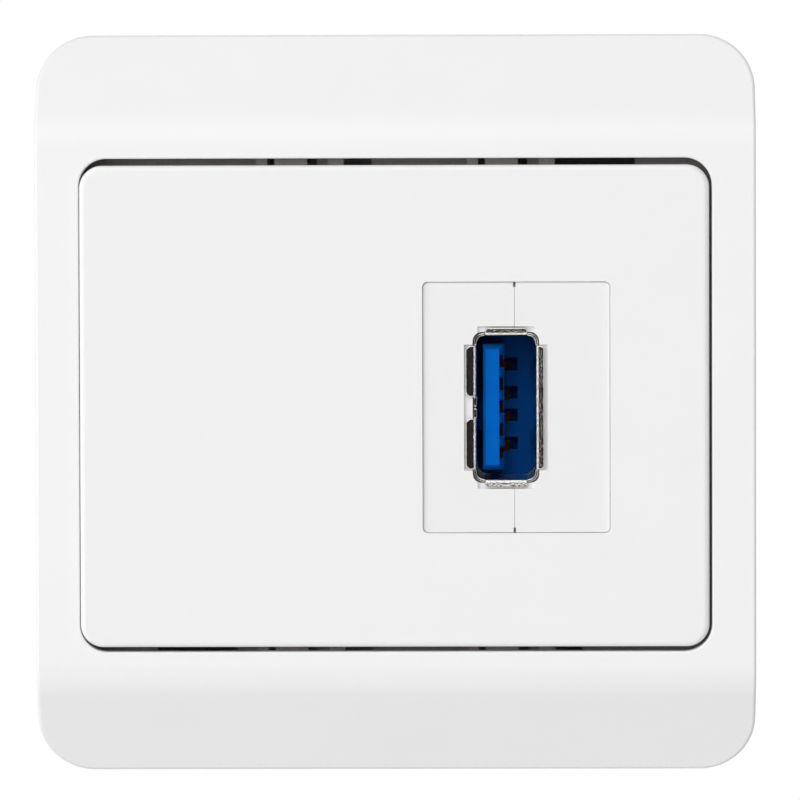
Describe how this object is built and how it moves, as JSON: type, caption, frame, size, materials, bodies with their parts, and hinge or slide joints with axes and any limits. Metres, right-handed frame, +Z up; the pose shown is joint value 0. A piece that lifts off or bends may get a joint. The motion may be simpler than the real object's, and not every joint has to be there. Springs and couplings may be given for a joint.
{
  "type": "usb data socket",
  "caption": "White wall data socket: a moulded frame with sloping bands round a flat cover plate that carries an upright USB-A coupler, its blue tongue to the left.",
  "frame": {"origin": "middle of the frame on the wall plane, where the backs of the frame and of the steel support plate lie", "axes": "+Z is up along the frame's longer side, +Y goes into the wall, +X is to the right of a viewer who faces the socket, and the front faces -Y"},
  "size_m": [0.063, 0.0335, 0.0648],
  "materials": {
    "frame_plastic": "white moulded plastic with a fine even grain",
    "plate_plastic": "white moulded plastic with a fine even grain",
    "coupler_plastic": "smooth white moulded plastic",
    "carrier_plastic": "dark grey moulded nylon",
    "support_steel": "stamped zinc-plated steel",
    "shell_metal": "folded steel sheet with satin nickel plating",
    "insulator_plastic": "blue moulded polyester",
    "contact_metal": "gold-plated bronze strip",
    "board_laminate": "green coated circuit board laminate"
  },
  "bodies": {
    "root": {"surround_frame": "frame_plastic", "cover_plate": "plate_plastic", "module_carrier": "carrier_plastic", "support_plate": "support_steel", "coupler_half_left": "coupler_plastic", "coupler_half_right": "coupler_plastic", "front_shell": "shell_metal", "rear_shell": "shell_metal", "front_insulator": "insulator_plastic", "rear_insulator": "insulator_plastic", "front_contact_1": "contact_metal", "front_contact_2": "contact_metal", "front_contact_3": "contact_metal", "front_contact_4": "contact_metal", "rear_contact_1": "contact_metal", "rear_contact_2": "contact_metal", "rear_contact_3": "contact_metal", "rear_contact_4": "contact_metal", "front_fast_contact_1": "contact_metal", "front_fast_contact_2": "contact_metal", "front_fast_contact_3": "contact_metal", "front_fast_contact_4": "contact_metal", "front_fast_contact_5": "contact_metal", "rear_fast_contact_1": "contact_metal", "rear_fast_contact_2": "contact_metal", "rear_fast_contact_3": "contact_metal", "rear_fast_contact_4": "contact_metal", "rear_fast_contact_5": "contact_metal", "coupler_board": "board_laminate"}
  },
  "joints": []
}
